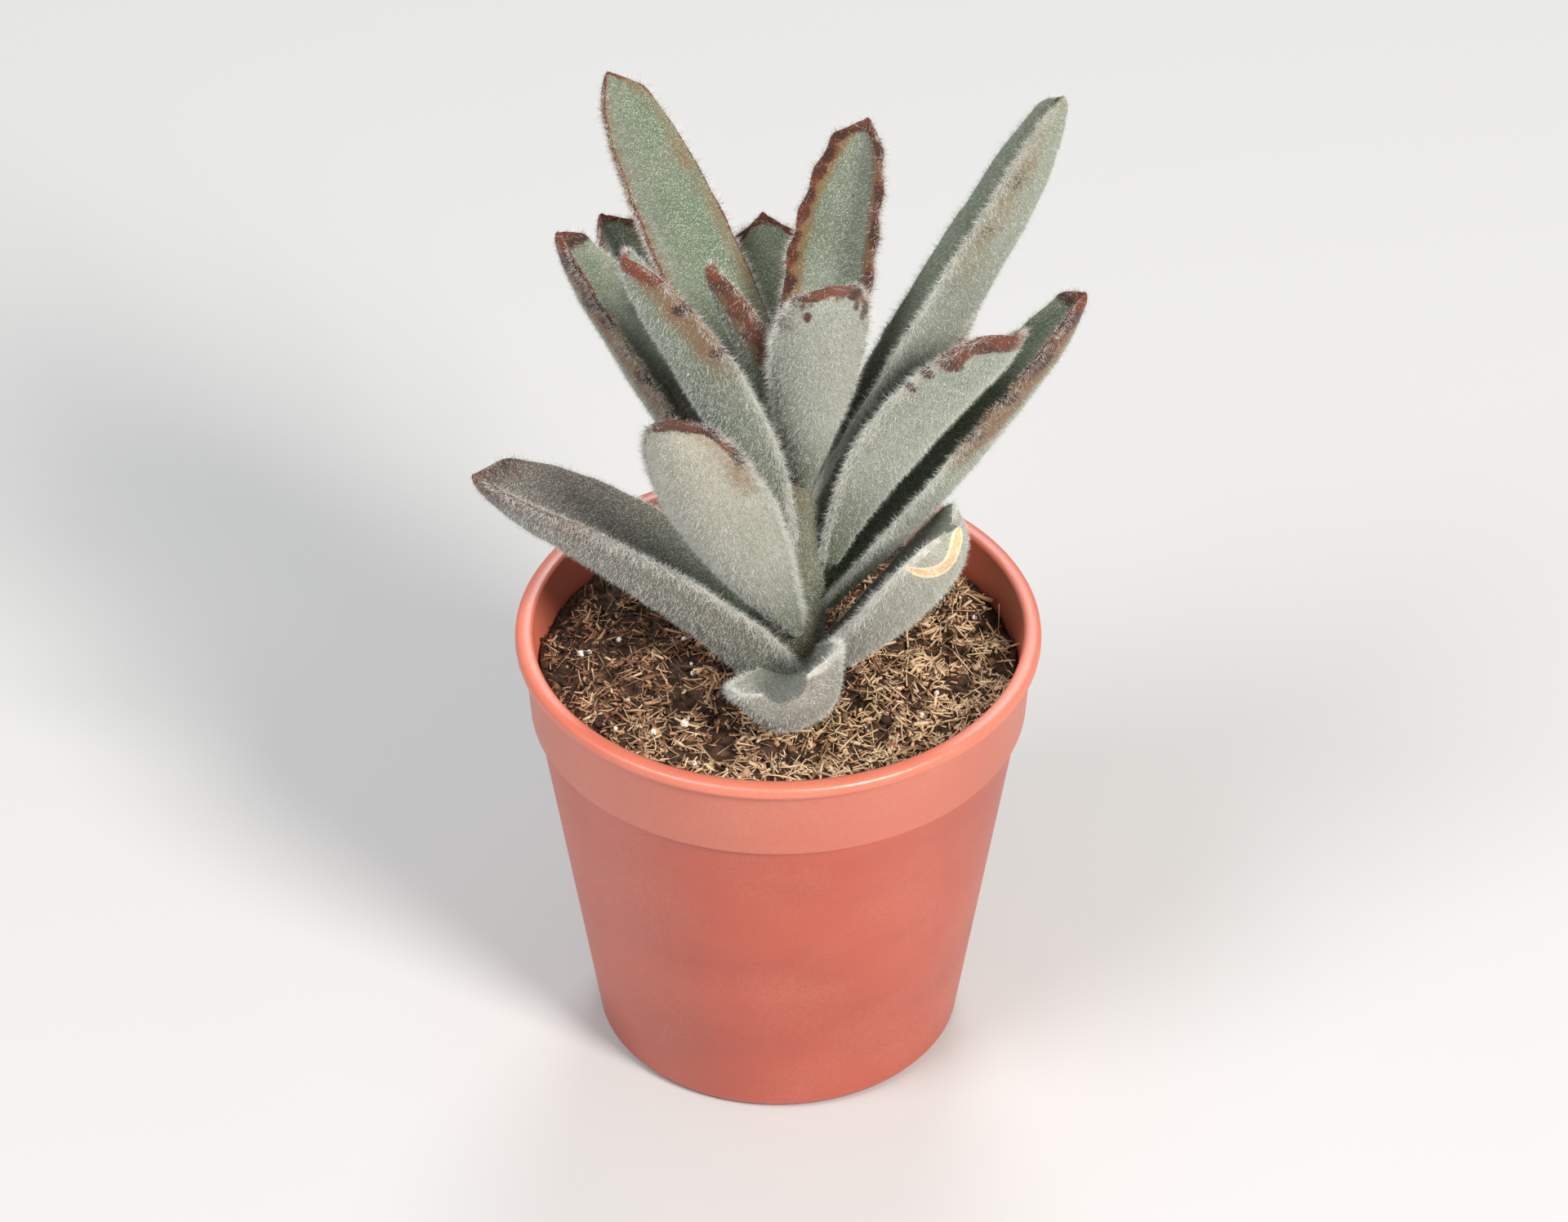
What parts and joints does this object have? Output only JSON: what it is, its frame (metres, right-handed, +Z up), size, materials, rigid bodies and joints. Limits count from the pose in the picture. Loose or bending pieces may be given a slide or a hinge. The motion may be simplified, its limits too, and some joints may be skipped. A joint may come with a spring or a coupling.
{
  "type": "potted panda plant",
  "caption": "Young succulent with thick felted grey-green leaves and rust-brown scalloped tips, standing in a small round terracotta-coloured grower pot of peat.",
  "frame": {"origin": "centre of the pot's flat underside", "axes": "+Z up along the pot's axis, -Y towards the plant's front, where its lowest leaf points, +X to the right seen from the front"},
  "size_m": [0.0627, 0.056, 0.1138],
  "materials": {
    "pot": "satin",
    "soil": "matte",
    "stem": "matte",
    "leaf": "matte"
  },
  "bodies": {
    "root": {"pot": "pot", "soil": "soil", "stem": "stem", "leaf_01_front": "leaf", "leaf_02_left": "leaf", "leaf_03_right": "leaf", "leaf_04_back": "leaf", "leaf_05_front_left": "leaf", "leaf_06_back_right": "leaf", "leaf_07_right": "leaf", "leaf_08_left": "leaf", "leaf_09_back": "leaf", "leaf_10_front_right": "leaf", "leaf_11_back_left": "leaf", "leaf_12_back_right": "leaf", "leaf_13_left": "leaf", "leaf_14_right": "leaf", "leaf_15_back": "leaf", "leaf_16_front": "leaf", "leaf_17_back_left": "leaf", "leaf_18_crown": "leaf"}
  },
  "joints": []
}
